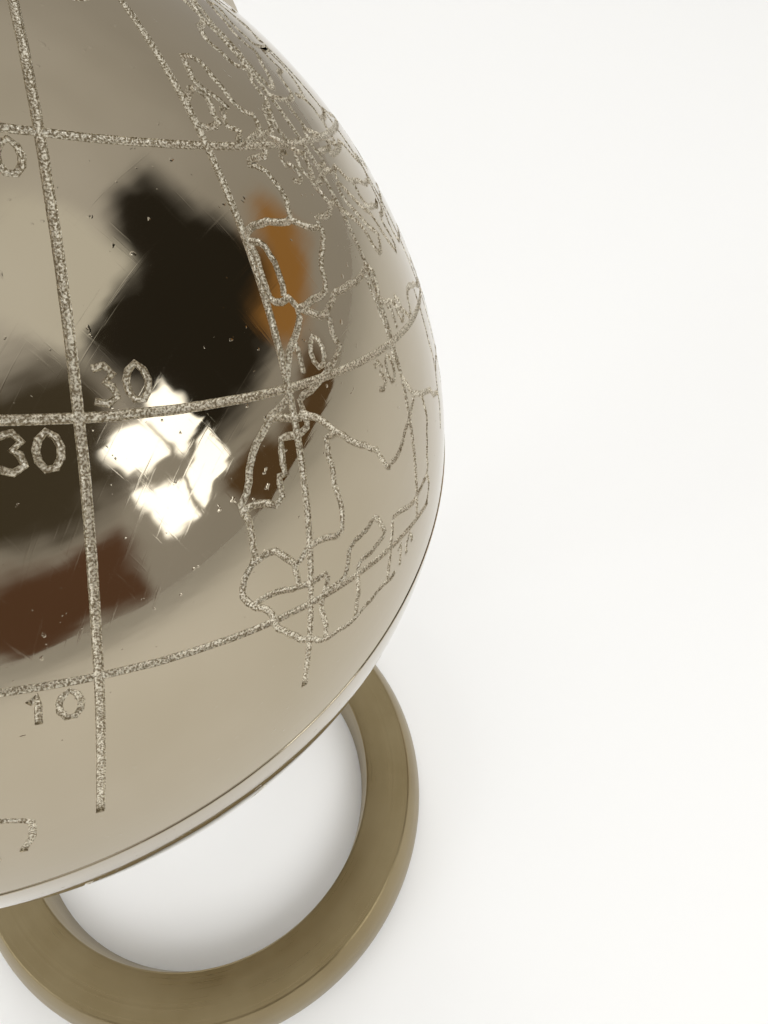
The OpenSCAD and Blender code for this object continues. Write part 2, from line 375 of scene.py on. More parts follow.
# Outlines and borders, as (longitude, latitude) in degrees.
coasts = {
    "africa": [
        (-5.9, 35.8), (-2.5, 35.1), (1, 36.6), (5, 36.8), (10, 37.3), (11, 36.5), (10.2, 34.2),
        (15.2, 32.4), (18.5, 30.4), (20.2, 32.6), (23, 32.6), (29.5, 31), (32.4, 31.2), (32.6, 29.9),
        (34, 27), (37.2, 21), (37.3, 18.8), (39.5, 15.5), (43.3, 11.6), (47, 11.2), (51.2, 11.9),
        (50.8, 9.4), (48, 4.5), (41.6, -1.7), (39.2, -4.7), (39.4, -7.5), (40.6, -10.8), (40.7, -15),
        (36.8, -18), (34.8, -19.9), (35.5, -23), (32.8, -25.9), (32, -28.8), (27, -33.5), (20, -34.8),
        (18.4, -34), (18.2, -31.8), (14.8, -25.5), (14.4, -22), (12, -17), (13.7, -12), (12, -5.5),
        (9.8, -2.8), (9.3, 0.8), (9.6, 3.8), (8.6, 4.6), (6, 4.3), (4.4, 6.3), (1, 5.9), (-2, 4.8),
        (-7.5, 4.4), (-11.3, 6.8), (-13.3, 9), (-14.9, 11), (-16.8, 12.6), (-17.4, 14.7), (-16.3, 17),
        (-16.5, 19.5), (-17, 21), (-16, 23.8), (-14.5, 26.3), (-12.9, 27.9), (-10, 29.5), (-9.7, 31.2),
        (-8, 33.3), (-6.3, 34.9),
    ],
    "europe_and_asia": [
        (-5.6, 36), (-6.5, 37), (-8.9, 37), (-9.4, 38.8), (-8.8, 41), (-9.2, 43), (-4, 43.4),
        (-1.8, 43.4), (-1.2, 45.8), (-2.5, 47.4), (-4.7, 48.3), (-1.6, 48.7), (0.2, 49.6), (1.6, 50.8),
        (3.8, 51.5), (5, 53.2), (8.2, 53.8), (8.2, 56.8), (10.6, 57.7), (9.9, 54.8), (14.2, 54),
        (18.5, 54.8), (21, 56.8), (24, 57.3), (23.5, 59.2), (29.8, 59.9), (22.5, 60), (21.3, 63),
        (25.2, 65), (22.2, 65.7), (17.5, 62.3), (17.2, 60.8), (18.8, 59.8), (16.5, 57), (12.8, 55.5),
        (11.2, 59), (8.2, 58.1), (5.5, 59), (5, 61.8), (9, 63.5), (13, 66.2), (16, 68.6), (21, 70.1),
        (31, 70.2), (41, 67), (33, 66.8), (35, 64.5), (40.5, 64.7), (44, 68.2), (54, 68.4), (67, 69),
        (69, 73), (73, 71), (80, 73.5), (98, 76), (105, 77.6), (114, 74), (128, 73.2), (140, 72.6),
        (160, 69.8), (178, 69), (190, 66), (180, 63), (170, 60), (163, 58), (162, 55), (157, 51.2),
        (156, 57), (163, 61.5), (155, 59.4), (143, 59.3), (135.5, 54.7), (140.5, 51), (135, 43.5),
        (130.5, 42.3), (127.5, 39.8), (129.4, 36.5), (126.5, 34.5), (126, 37.5), (121.5, 39), (118, 39),
        (122.5, 37), (119.5, 34.8), (122, 31), (120, 26.5), (116, 23), (110.5, 21.2), (106, 19),
        (109, 13), (105, 8.7), (100.5, 13.4), (99.3, 10), (103.4, 4), (104, 1.4), (101, 2.9),
        (98.3, 8.2), (98, 14), (95.3, 16), (92, 21.5), (86.8, 20.8), (82, 16.6), (80, 13.5),
        (77.5, 8.1), (73, 17), (72.7, 20.8), (69, 22.3), (67, 24.8), (57, 26.8), (50, 30), (48, 29.9),
        (51.5, 24.5), (56.2, 26.2), (59.8, 22.4), (52, 15.6), (45, 12.8), (42.6, 16.5), (39, 21.4),
        (35, 28), (34.9, 29.4), (34.2, 27.9), (33, 29.6), (34.3, 31.4), (35.9, 35.8), (36, 36.8),
        (30.6, 36.8), (27.4, 36.8), (26.4, 39.2), (29, 41), (35, 42), (41.6, 41.6), (38.5, 44.3),
        (39.2, 47.1), (33.6, 44.5), (31.5, 46.6), (28.7, 44), (28, 42), (26, 40.8), (23, 40.3),
        (24, 37.8), (22.9, 36.5), (21.1, 38.3), (19.4, 41.3), (13.6, 45.3), (12.4, 44.3), (14.3, 42.4),
        (18.4, 40), (16, 38), (14.3, 40.6), (8.8, 44.4), (6, 43.1), (3.2, 43.1), (3.2, 41.8),
        (-0.2, 39.5), (-0.6, 37.6), (-2.2, 36.7),
    ],
    "americas": [
        (-168, 65.6), (-161, 64.5), (-165, 62), (-158, 58.5), (-162, 55.2), (-152, 59.5), (-146, 60.8),
        (-137, 58.5), (-130.5, 54.5), (-124.5, 48.4), (-124.2, 42.5), (-120.6, 34.6), (-117, 32.5),
        (-112, 25), (-109.6, 23), (-114.2, 30.8), (-112.4, 30), (-109, 26), (-105.5, 20.5),
        (-96.5, 15.8), (-91.5, 14), (-85.7, 10.8), (-83, 8.4), (-80, 7.4), (-77.8, 7.2), (-77.4, 4),
        (-80, 0.8), (-81, -4.5), (-76.3, -13.8), (-70.5, -18.2), (-71.5, -30), (-73.6, -37.5),
        (-75, -46.5), (-74, -52.5), (-68.5, -54.8), (-65.5, -54.7), (-68.6, -51.8), (-65.8, -47.5),
        (-65, -43), (-62.2, -39), (-57.6, -38), (-58.4, -34), (-53.5, -34), (-48.6, -28), (-47, -24.8),
        (-41, -22), (-39, -16), (-37, -11.5), (-35, -7.5), (-35.3, -5.2), (-39, -3.2), (-44.3, -2.6),
        (-50, 0.5), (-51.8, 4.5), (-57, 6), (-61.8, 10.6), (-68, 11.5), (-71.7, 12.3), (-75.5, 10.6),
        (-79, 9.5), (-83.5, 11), (-83.2, 15), (-88.5, 15.8), (-87.2, 21.4), (-90.5, 20.9),
        (-91.5, 18.5), (-95.8, 18.7), (-97.6, 22), (-97.2, 27.6), (-93.8, 29.7), (-89.4, 29.2),
        (-84, 30), (-82.7, 28), (-81, 25.2), (-80.2, 27), (-81.3, 31.2), (-76, 35), (-74, 40.6),
        (-70, 41.8), (-69, 44), (-66, 43.6), (-61, 45.6), (-65, 47.8), (-60, 50.2), (-56, 52.2),
        (-62, 57.8), (-65, 60.2), (-70, 61.5), (-78, 62.4), (-77, 57.5), (-79.6, 51.5), (-82.3, 55.2),
        (-92.5, 57), (-94.5, 60), (-87, 64.5), (-85.5, 69.5), (-95, 69), (-110, 68), (-128, 70.2),
        (-141, 69.7), (-156, 71.2), (-166, 68.3), (-161.5, 66.5),
    ],
    "britain": [
        (-5.5, 50.1), (-3.5, 50.3), (1.2, 51.3), (1.6, 52.7), (0.2, 53), (-1.6, 55.2), (-2, 57.6),
        (-3.2, 58.6), (-5.1, 58.5), (-5.6, 56.5), (-4.9, 54.7), (-3, 53.6), (-4.5, 53.2), (-5.2, 51.8),
        (-3.2, 51.4),
    ],
    "ireland": [(-6.4, 52.2), (-9.9, 51.7), (-9.8, 54.1), (-7.4, 55.3), (-6, 54.5), (-6.4, 53.3)],
    "iceland": [(-22.5, 63.9), (-18.5, 63.4), (-13.8, 64.9), (-16, 66.4), (-22.3, 66.2), (-24, 65.2)],
    "greenland": [
        (-44, 60), (-50, 62.5), (-53.5, 67), (-54, 71), (-60, 76), (-72, 78.3), (-62, 80.5), (-35, 82),
        (-15, 80.5), (-19, 77), (-20, 73), (-24, 70.3), (-34, 66.7), (-40, 65), (-42.5, 61.5),
    ],
    "australia": [
        (114, -22), (113.8, -26.5), (115.8, -32), (118, -35), (124, -33.3), (131, -31.6),
        (135.5, -34.8), (138, -34), (140, -37.5), (146, -38.8), (150, -37.2), (153, -32), (153.2, -26),
        (149, -20.7), (145.4, -15), (142.5, -10.8), (141.6, -14), (140.5, -17.6), (136, -15.5),
        (136.8, -12.2), (131, -12), (129, -15), (125, -15), (122.2, -17.8),
    ],
    "madagascar": [(49.3, -12.1), (50.4, -15.6), (47.2, -24.8), (44.2, -25), (43.5, -21.8), (44.5, -16.5)],
    "japan": [
        (130.2, 31.4), (131.8, 33.8), (136, 33.6), (140.2, 35.4), (142, 39.6), (145.2, 43.4),
        (141.8, 45.4), (140, 41.6), (139.6, 38.3), (136.8, 37), (132.6, 35.4),
    ],
    "new_zealand": [
        (172.7, -34.5), (178.4, -37.8), (174.9, -41.4), (171, -45), (168.4, -46.6), (166.6, -45.8),
        (171.3, -41.8), (173.4, -38.5),
    ],
    "borneo": [(109.3, 1.8), (113, 3.2), (117, 7), (118.8, 4.8), (116.5, -3.8), (110.4, -2.8)],
    "sumatra": [(95.3, 5.6), (100, 1.6), (103.6, -2), (106, -5.6), (102.5, -4.2), (98, 0.8)],
    "new_guinea": [
        (131, -0.8), (138, -1.8), (147.8, -6), (150.5, -10.5), (144, -8), (138.5, -8.2), (133, -4),
    ],
    "cuba": [(-84.8, 21.9), (-80.5, 23.1), (-74.3, 20.2), (-77.6, 19.9), (-80, 21.6)],
    "antarctica": [
        (-60, -63.5), (-66, -70), (-80, -73.5), (-105, -74), (-130, -75), (-155, -78), (-185, -78),
        (-195, -71), (-215, -67.5), (-240, -66.5), (-270, -66.8), (-290, -69), (-310, -67),
        (-325, -69.5), (-350, -70.5), (-375, -73), (-395, -77.5), (-405, -78), (-418, -74.5),
        (-420, -63.5),
    ],
}
borders = [
    [
        (-2.2, 35.1), (-1.7, 33), (-1.2, 32.2), (-3.6, 30.8), (-5.5, 29.8), (-8.7, 28.7),
        (-8.7, 27.7), (-13, 27.7),
    ],
    [
        (-8.7, 27.7), (-4.8, 25), (1.2, 21.1), (3.3, 19), (6, 19.6), (12, 23.5), (10, 26.5),
        (9.5, 30.3), (8.6, 36.9),
    ],
    [(-17, 21.3), (-13, 21.3), (-13, 23), (-12, 23.4), (-12, 26), (-8.7, 26), (-8.7, 27.7)],
    [(-4.8, 25), (-6.5, 24.9), (-5.5, 16), (-10.8, 15.4), (-12.2, 14.8), (-14, 16.6), (-16.3, 16.3)],
    [(-12.2, 14.8), (-11.4, 12.4), (-13.7, 12.6), (-16.7, 12.4)],
    [(-11.4, 12.4), (-8.2, 12.2), (-8, 10.2), (-8.5, 7.6), (-7.5, 4.4)],
    [(-8, 10.3), (-5.3, 11), (-4, 13.5), (0.2, 15), (2.2, 12.3), (-2.8, 11), (-2.7, 8), (-3.1, 5.1)],
    [
        (2.7, 6.4), (2.8, 9), (3.6, 11.7), (4.1, 13.5), (9, 12.8), (13.5, 13.7), (15.5, 20),
        (15, 23), (12, 23.5),
    ],
    [(13.5, 13.7), (14.5, 12), (11.5, 7), (8.6, 4.8)],
    [(15, 23), (24, 19.5), (24.8, 22), (25, 31.5)],
    [(24.8, 22), (36.8, 22)],
    [(24, 19.5), (22.3, 13), (24, 8.7), (34, 9.5), (36.5, 14.5), (38.6, 18)],
    [
        (9.8, 1), (13.2, 2.2), (16.2, 2.2), (18.6, 4.8), (27.4, 5.1), (30.8, 3.5), (29.6, -1.4),
        (29.4, -4.5), (30.8, -8.3),
    ],
    [(30.8, -8.3), (28.5, -12), (24, -11), (21.8, -7.3), (16.6, -5.9), (12.4, -5.9)],
    [
        (11.8, -17.2), (21, -18), (25.2, -17.8), (30.2, -15.6), (33, -14), (32.8, -17),
        (31.3, -22.4), (32.6, -26),
    ],
    [(29.3, -22.2), (25.5, -25.6), (20.8, -26.8), (20, -24.8), (20, -28.4), (16.5, -28.6)],
    [(41, -1.6), (41, 4), (36, 4.4), (34, 4.2), (34, -1), (37.6, -3), (39.2, -4.7)],
    [(43, 11), (48, 8), (45, 5), (41.9, 4)],
    [(-7.4, 37.2), (-7, 38.9), (-6.6, 41.3), (-8.2, 42), (-8.8, 41.9)],
    [(-1.8, 43.4), (0.7, 42.7), (3.2, 42.4)],
    [(7.5, 43.8), (7, 45.9), (6.1, 46.2), (7.6, 47.6), (8.2, 49), (6.2, 49.5), (2.6, 51.1)],
    [(6.1, 49.8), (6, 51.8), (7.1, 53.3)],
    [(7, 45.9), (10.4, 46.6), (13.7, 46.5), (13.6, 45.6)],
    [(9.6, 47.5), (13, 47.5), (12.2, 50.3), (14.8, 50.9), (18.8, 49.5), (17, 48.7), (13.8, 48.6)],
    [(14.3, 53.9), (14.8, 50.9)],
    [(18.8, 49.5), (22.6, 49.1), (23.8, 51.2), (23.5, 53.9), (20, 54.4)],
    [(13.7, 46.5), (16.2, 47), (16.5, 46), (19, 44.9), (22.5, 44.6), (28.7, 43.8)],
    [(19, 44.9), (19.3, 42.2), (23, 41.4), (26.3, 41.8)],
    [(17, 48.1), (22.2, 48.4), (26.6, 48.3), (29.8, 45.4)],
    [(23.5, 53.9), (26.6, 55.7), (28, 57.5), (27.5, 59.4)],
    [(23.6, 51.5), (30.8, 52.1), (34.5, 51.2), (40, 49.6), (38.3, 47.1)],
    [(11.3, 59), (12.3, 61.5), (12.2, 63.8), (16.2, 67.5), (20.5, 69), (25.8, 69.8), (28.8, 69.8)],
    [(28.8, 69.8), (30, 67.7), (29.6, 64.8), (31.2, 62.7), (28, 60.6)],
    [
        (48, 46), (46.8, 48.5), (50.8, 51.6), (59, 51), (61.5, 54), (71, 54.2), (76.5, 54),
        (83.3, 51), (87.3, 49.2),
    ],
    [
        (87.3, 49.2), (98, 50), (107, 49.8), (116.5, 49.9), (120, 53), (127, 50), (131, 47.8),
        (134.8, 48.4), (130.7, 42.4),
    ],
    [(87.3, 49.2), (91, 45.2), (97, 42.7), (105, 41.6), (111.5, 43.7), (119.8, 46.8), (116.5, 49.9)],
    [
        (80, 42), (74, 40), (74.5, 37), (78.5, 34), (81, 30.2), (88.5, 27.9), (97.3, 28.2),
        (98.7, 24), (108, 21.6),
    ],
    [(68.2, 23.8), (71, 27.8), (74.5, 31.5), (74.5, 37)],
    [(44.5, 39.7), (48, 38), (54, 37.4), (61, 36.5), (61.5, 31), (63, 27.2), (61.6, 25.1)],
    [(44.5, 39.7), (46, 35.7), (48.5, 30)],
    [(35, 29.5), (38, 31.5), (44.7, 29.2), (48.4, 28.6)],
    [(43, 17.2), (52, 19), (55.5, 22.5)],
    [
        (-123, 49), (-110, 49), (-95.2, 49), (-89.5, 48), (-83.5, 46), (-82.5, 42), (-79, 43.3),
        (-75, 45), (-67, 45),
    ],
    [(-117, 32.5), (-108, 31.5), (-103.5, 29.2), (-99.5, 27.5), (-97.2, 26)],
    [(-141, 69.6), (-141, 60.3), (-131, 55.5)],
    [
        (-51.8, 4.4), (-54.6, 2.3), (-60, 4.8), (-64.5, 4), (-67, 1.2), (-69.8, -0.5), (-70, -4.3),
        (-73.5, -7.2),
    ],
    [
        (-73.5, -7.2), (-70.6, -9.6), (-65.3, -10.5), (-60.2, -14), (-58, -19.8), (-54.5, -24.5),
        (-57.6, -30.2), (-53.5, -33.6),
    ],
    [(-78.8, 1.3), (-75.3, -0.2), (-70, -4.3)],
    [(-71.5, 12), (-72.5, 7.5), (-67.5, 6.2), (-67, 1.2)],
    [(-70.4, -18.3), (-68, -22.8), (-70, -33), (-71.5, -40), (-72.3, -50), (-68.4, -52.4)],
    [(-69.4, -17.5), (-69.6, -11)],
    [(-68, -22.8), (-62.6, -22.2), (-57.6, -25.4)],
    [(129, -14.9), (129, -31.6)],
    [(138, -16.5), (138, -26), (129, -26)],
    [(141, -26), (141, -38)],
]
# Strokes of the figures that the numbers need, in a box 0.6 wide and 1 high.
figures = {
    "0": [(
        [(0.3, 1), (0.08, 0.8), (0, 0.5), (0.08, 0.2), (0.3, 0), (0.52, 0.2), (0.6, 0.5), (0.52, 0.8)],
        True,
    )],
    "1": [([(0.1, 0.76), (0.34, 1), (0.34, 0.5), (0.34, 0)], False)],
    "3": [(
        [(0.04, 0.9), (0.28, 1), (0.54, 0.86), (0.5, 0.62), (0.26, 0.53),
         (0.56, 0.42), (0.58, 0.16), (0.3, 0), (0.02, 0.1)],
        False,
    )],
    "5": [(
        [(0.55, 1), (0.1, 1), (0.05, 0.56), (0.34, 0.62),
         (0.58, 0.44), (0.56, 0.14), (0.3, 0), (0.02, 0.08)],
        False,
    )],
    "7": [([(0, 1), (0.6, 1), (0.4, 0.5), (0.22, 0)], False)],
    "9": [
        ([(0.3, 1), (0.04, 0.86), (0.04, 0.6), (0.3, 0.46), (0.56, 0.6), (0.56, 0.86)], True),
        ([(0.58, 0.66), (0.54, 0.26), (0.34, 0), (0.06, 0.06)], False),
    ],
}
line_cutter = 0.00037
coast_cutter = 0.00033
figure_cutter = 0.00028
line_wobble = 0.00003
coast_wobble = 0.0005
figure_height = math.degrees(0.0024 / globe_r)
figure_gap = 1.3
figure_lift = 0.8
figure_pitch = 0.86
sunk = {}


def sink_line(group, points, closed, cutter, wobble):
    """Adds a line to a group that is cut in one pass. Lines of a group don't cross or touch."""
    sunk.setdefault(group, (cutter, wobble, []))[2].append((points, closed))


def sink_number(number, lon, lat, tail):
    """Sinks a number whose first figure starts at a place, or whose last one ends there."""
    wide = figure_height / math.cos(math.radians(lat))
    lon -= tail * wide * figure_pitch * (len(number) - 0.3)
    for figure in number:
        for index, (stroke, closed) in enumerate(figures[figure]):
            points = [(lon + x * wide, lat + y * figure_height) for x, y in stroke]
            sink_line("figures_%d" % index, points, closed, figure_cutter, 0.0)
        lon += figure_pitch * wide


for lon in range(-170, 190, 20):
    sink_line("meridians", [(lon, lat) for lat in range(-80, 81, 4)], False, line_cutter, line_wobble)
    for lat in (30, -30):
        sink_number(str(abs(lon)), lon + figure_gap, lat + figure_lift, 0)
for lat in range(-70, 71, 20):
    sink_line("parallels", [(lon, lat) for lon in range(0, 361, 4)], False, line_cutter, line_wobble)
    for lon in range(-150, 190, 40):
        left = lon - figure_gap / math.cos(math.radians(lat))
        sink_number(str(abs(lat)), left, lat - figure_lift - figure_height, 1)
for land, outline in coasts.items():
    sink_line("coast_" + land, outline, land != "antarctica", coast_cutter, coast_wobble)
for index, border in enumerate(borders):
    sink_line("border_%d" % index, border, False, coast_cutter, coast_wobble)

# Sweeps a round cutter along the lines of a mesh, wandering by the wobble and
# lifting out of the metal near the seam.
sweep = bpy.data.node_groups.new("sunk_line", "GeometryNodeTree")
sweep.interface.new_socket("Geometry", in_out="INPUT", socket_type="NodeSocketGeometry")
sweep_sizes = (
    ("Cutter", line_cutter),
    ("Step", 0.0007),
    ("Wobble", 0.0),
    ("Run Out", run_out),
    ("Margin", seam_margin),
)
for name, value in sweep_sizes:
    sweep.interface.new_socket(name, in_out="INPUT", socket_type="NodeSocketFloat").default_value = value
sweep.interface.new_socket("Groove", in_out="INPUT", socket_type="NodeSocketMaterial")
sweep.interface.new_socket("Geometry", in_out="OUTPUT", socket_type="NodeSocketGeometry")
given = sweep.nodes.new("NodeGroupInput")
entry = {socket.name: Wire(sweep, socket) for socket in given.outputs if socket.name}


def vector(operation, first, second=None, scale=None, output=0):
    """Vector maths in the sweep."""
    inputs = {0: first}
    if second is not None:
        inputs[1] = second
    if scale is not None:
        inputs["Scale"] = scale
    return Wire.node(sweep, "ShaderNodeVectorMath", {"operation": operation}, inputs, output)


line = Wire.node(sweep, "GeometryNodeMeshToCurve", None, {"Mesh": entry["Geometry"]})
line = Wire.node(sweep, "GeometryNodeCurveSplineType", {"spline_type": "CATMULL_ROM"}, {"Curve": line})
evenly = {"Curve": line, "Length": entry["Step"]}
line = Wire.node(sweep, "GeometryNodeResampleCurve", {"mode": "LENGTH"}, evenly)
spot = Wire.node(sweep, "GeometryNodeInputPosition")
spoke = vector("NORMALIZE", vector("SUBTRACT", spot, tuple(centre)))
wander = {"Vector": spot, "Scale": 380.0, "Detail": 3.0}
drift = Wire.node(sweep, "ShaderNodeTexNoise", None, wander, "Color")
drift = vector("SUBTRACT", drift, (0.5, 0.5, 0.5))
outward_part = vector("SCALE", spoke, scale=vector("DOT_PRODUCT", drift, spoke, output="Value"))
drift = vector("SCALE", vector("SUBTRACT", drift, outward_part), scale=entry["Wobble"] * 4.0)
line = Wire.node(sweep, "GeometryNodeSetPosition", None, {"Geometry": line, "Offset": drift})
spot = Wire.node(sweep, "GeometryNodeInputPosition")
rise = Wire.node(sweep, "ShaderNodeSeparateXYZ", None, {0: spot}, "Z") - centre.z
clear = Wire.node(sweep, "ShaderNodeMath", {"operation": "ABSOLUTE"}, {0: rise})
shallow = {"Value": clear, 1: entry["Margin"], 2: entry["Margin"] + entry["Run Out"], 3: 0.3, 4: 1.0}
depth = Wire.node(sweep, "ShaderNodeMapRange", None, shallow)
chatter = Wire.node(sweep, "ShaderNodeTexNoise", None, {"Vector": spot, "Scale": 1400.0, "Detail": 1.0})
reach = depth * (chatter * 0.5 + 0.75)
line = Wire.node(sweep, "GeometryNodeSetCurveRadius", None, {"Curve": line, "Radius": reach})
nose = {"Resolution": 10, "Radius": entry["Cutter"]}
nose = Wire.node(sweep, "GeometryNodeCurvePrimitiveCircle", None, nose)
swept = {"Curve": line, "Profile Curve": nose, "Fill Caps": True}
tube = Wire.node(sweep, "GeometryNodeCurveToMesh", None, swept)
tube = Wire.node(sweep, "GeometryNodeRealizeInstances", None, {"Geometry": tube})
tube = Wire.node(sweep, "GeometryNodeSetMaterial", None, {"Geometry": tube, "Material": entry["Groove"]})
Wire.node(sweep, "NodeGroupOutput", None, {0: tube})


path_step = 2.0


def line_mesh(lines, cutter, upper):
    """The stretches of some lines that lie on one shell, clear of the seam, as loose edges."""
    places, edges = [], []
    for points, closed in lines:
        ends = points + points[:1] if closed else points
        fine = [points[0]]
        for (lon, lat), (next_lon, next_lat) in zip(ends, ends[1:]):
            east, north = next_lon - lon, next_lat - lat
            count = max(1, round(math.hypot(east * math.cos(math.radians(lat)), north) / path_step))
            fine += [(lon + east * i / count, lat + north * i / count) for i in range(1, count + 1)]
        before = None
        for lon, lat in fine:
            direction = direction_of(lon, lat)
            reach = skin_radius(direction, upper)
            if reach * direction.z * (1 if upper else -1) < seam_margin:
                before = None
                continue
            places.append(centre + direction * (reach + cutter / 3))
            if before is not None:
                edges.append((before, len(places) - 1))
            before = len(places) - 1
    mesh = bpy.data.meshes.new("cutter_path")
    mesh.from_pydata(places, edges, [])
    joined = bmesh.new()
    joined.from_mesh(mesh)
    bmesh.ops.remove_doubles(joined, verts=joined.verts, dist=1e-6)
    joined.to_mesh(mesh)
    joined.free()
    return mesh


def cut(piece, cutters):
    """Takes each object of a list out of a piece in turn, and deletes it."""
    for cutter in cutters:
        step = piece.modifiers.new("cut", "BOOLEAN")
        step.operation = "DIFFERENCE"
        step.solver = "MANIFOLD"
        step.object = cutter
        step.material_mode = "TRANSFER"
        solid = piece.evaluated_get(bpy.context.evaluated_depsgraph_get())
        piece.data = bpy.data.meshes.new_from_object(solid)
        piece.modifiers.clear()
        bpy.data.objects.remove(cutter)


def metal(name, tone, roughness):
    """A metal finish; returns the material, its tree and its Principled node."""
    made = bpy.data.materials.new(name)
    made.use_nodes = True
    tree = made.node_tree
    shader = tree.nodes["Principled BSDF"]
    shader.inputs["Metallic"].default_value = 1.0
    shader.inputs["Base Color"].default_value = (*tone, 1)
    shader.inputs["Roughness"].default_value = roughness
    return made, tree, shader


def plug(shader, name, wire):
    """Leads a value to a socket of a shader."""
    wire.tree.links.new(wire.socket, shader.inputs[name])


def noise(tree, scale, detail, stretch=(1, 1, 1), turn=(0, 0, 0)):
    """Noise on the piece's own coordinates, in marks per metre, stretched and turned."""
    place = Wire.node(tree, "ShaderNodeTexCoord", output="Object")
    inputs = {"Vector": place, "Scale": stretch, "Rotation": turn}
    place = Wire.node(tree, "ShaderNodeMapping", None, inputs)
    inputs = {"Vector": place, "Scale": scale, "Detail": detail}
    return Wire.node(tree, "ShaderNodeTexNoise", None, inputs, "Fac")


def ramp(tree, value, low, high, start=0.0, stop=1.0):
    """Maps a value between two limits to a range, and holds it there beyond them."""
    return Wire.node(tree, "ShaderNodeMapRange", None, {"Value": value, 1: low, 2: high, 3: start, 4: stop})


def tint(tree, mask, first, second):
    """A colour between two, as the mask goes from 0 to 1."""
    inputs = {0: mask, 6: (*first, 1), 7: (*second, 1)}
    return Wire.node(tree, "ShaderNodeMix", {"data_type": "RGBA"}, inputs, 2)


def bump(tree, height, strength, distance, before=None):
    """Raised and sunk marks, on top of the ones before."""
    inputs = {"Height": height, "Strength": strength, "Distance": distance}
    if before is not None:
        inputs["Normal"] = before
    return Wire.node(tree, "ShaderNodeBump", None, inputs)


champagne, tree, shader = metal("champagne_mirror", (0.43, 0.37, 0.275), 0.03)
bloom = noise(tree, 45, 3)
hairlines = ramp(tree, noise(tree, 90, 4, (1, 60, 4), (0.4, 0.3, 0.9)), 0.60, 0.74)
cross_lines = ramp(tree, noise(tree, 70, 4, (50, 1, 5), (0.2, 0.8, 0.1)), 0.62, 0.76)
wear = hairlines + cross_lines
pits = ramp(tree, noise(tree, 1300, 2), 0.71, 0.78)
plating = tint(tree, ramp(tree, bloom, 0.3, 0.7), (0.40, 0.345, 0.25), (0.46, 0.40, 0.305))
plug(shader, "Base Color", plating)
plug(shader, "Roughness", ramp(tree, bloom, 0.35, 0.75, 0.02, 0.075) + wear * 0.06 + pits * 0.15)
polish = bump(tree, noise(tree, 160, 2, (1, 1, 4)), 0.12, 0.00012)
polish = bump(tree, wear, 0.10, 0.00001, polish)
plug(shader, "Normal", bump(tree, pits, 0.5, 0.00004, polish))

granular, tree, shader = metal("granular_groove", (0.66, 0.60, 0.47), 0.42)
grain = noise(tree, 6500, 2)
# The grain's colour runs from dark to bright specks: painted glints on its facets and painted shade in its
# pits.
painted_glint_and_shade = tint(tree, ramp(tree, grain, 0.40, 0.60), (0.30, 0.245, 0.16), (0.88, 0.82, 0.68))
plug(shader, "Base Color", painted_glint_and_shade)
plug(shader, "Roughness", ramp(tree, grain, 0.35, 0.65, 0.55, 0.28))
plug(shader, "Normal", bump(tree, grain, 0.9, 0.00009))

bore_r = 0.00405
bore_reach = 0.02
bore_profile = [
    (0, globe_r - bore_reach),
    (bore_r, globe_r - bore_reach),
    (bore_r, globe_r + bore_reach),
    (0, globe_r + bore_reach),
]
groove_angle = math.radians(35)
# How far a corner of the polished face may be from its true curve.
skin_slack = 4e-5
for node, profile, upper in (("upper_shell", upper_profile, True), ("lower_shell", lower_profile, False)):
    shell = turned("engraved_" + node, profile, shell_steps, to_globe)
    shell.data.materials.append(champagne)
    cutters = []
    for cutter, wobble, lines in sunk.values():
        holder = bpy.data.objects.new("cutter_path", line_mesh(lines, cutter, upper))
        if not holder.data.edges:
            bpy.data.objects.remove(holder)
            continue
        bpy.context.scene.collection.objects.link(holder)
        step = holder.modifiers.new("sink", "NODES")
        step.node_group = sweep
        keys = {item.name: item.identifier for item in sweep.interface.items_tree if item.in_out == "INPUT"}
        step[keys["Cutter"]], step[keys["Wobble"]], step[keys["Groove"]] = cutter, wobble, granular
        cutters.append(holder)
    along_pole = (pole if upper else -pole).to_track_quat("Z", "X").to_matrix().to_4x4()
    bore = turned("bore", bore_profile, 48, to_globe @ along_pole)
    bore.data.materials.append(champagne)
    cut(shell, cutters + [bore])
    mesh = shell.data
    mesh.set_sharp_from_angle(angle=groove_angle)
    for face in mesh.polygons:
        face.use_smooth = True
    # The uncut skin takes the true curve's normals, so that reflections run smoothly.
    normals = [tuple(corner.vector) for corner in mesh.corner_normals]
    for face in mesh.polygons:
        if face.material_index != 0:
            continue
        places = [mesh.vertices[i].co - centre for i in face.vertices]
        on_skin = all(abs(p.length - skin_radius(p.normalized(), upper)) < skin_slack for p in places)
        if on_skin and all(abs(p.z) > seam_round * 0.9 for p in places):
            for loop, place in zip(face.loop_indices, places):
                normals[loop] = tuple(skin_normal(place, upper))
    mesh.normals_split_custom_set(normals)
    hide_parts(node)
    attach(shell, "globe")

# ------------------------------------------------- inside the globe: hardware
# A brass band is soldered inside the seam. A bronze tube runs from pole to pole;
# hexagon nuts on it clamp each shell to its collar, and a bush sits in each end.
bronze, tree, shader = metal("turned_bronze", (0.60, 0.42, 0.22), 0.3)
marks = noise(tree, 900, 3)
plug(shader, "Base Color", tint(tree, marks, (0.50, 0.33, 0.16), (0.66, 0.47, 0.26)))
plug(shader, "Roughness", ramp(tree, marks, 0.3, 0.7, 0.24, 0.42))
plug(shader, "Normal", bump(tree, marks, 0.25, 0.00004))

steel, tree, shader = metal("turned_steel", (0.60, 0.60, 0.61), 0.26)
marks = noise(tree, 1200, 3)
plug(shader, "Base Color", tint(tree, marks, (0.48, 0.48, 0.49), (0.66, 0.66, 0.67)))
plug(shader, "Roughness", ramp(tree, marks, 0.3, 0.7, 0.18, 0.38))
plug(shader, "Normal", bump(tree, marks, 0.25, 0.00003))


def finish_nodes(material, *names):
    """Gives CAD pieces that keep their own shape a finish."""
    for name in names:
        node = frame["nodes"][name]
        node.data.materials.clear()
        node.data.materials.append(material)


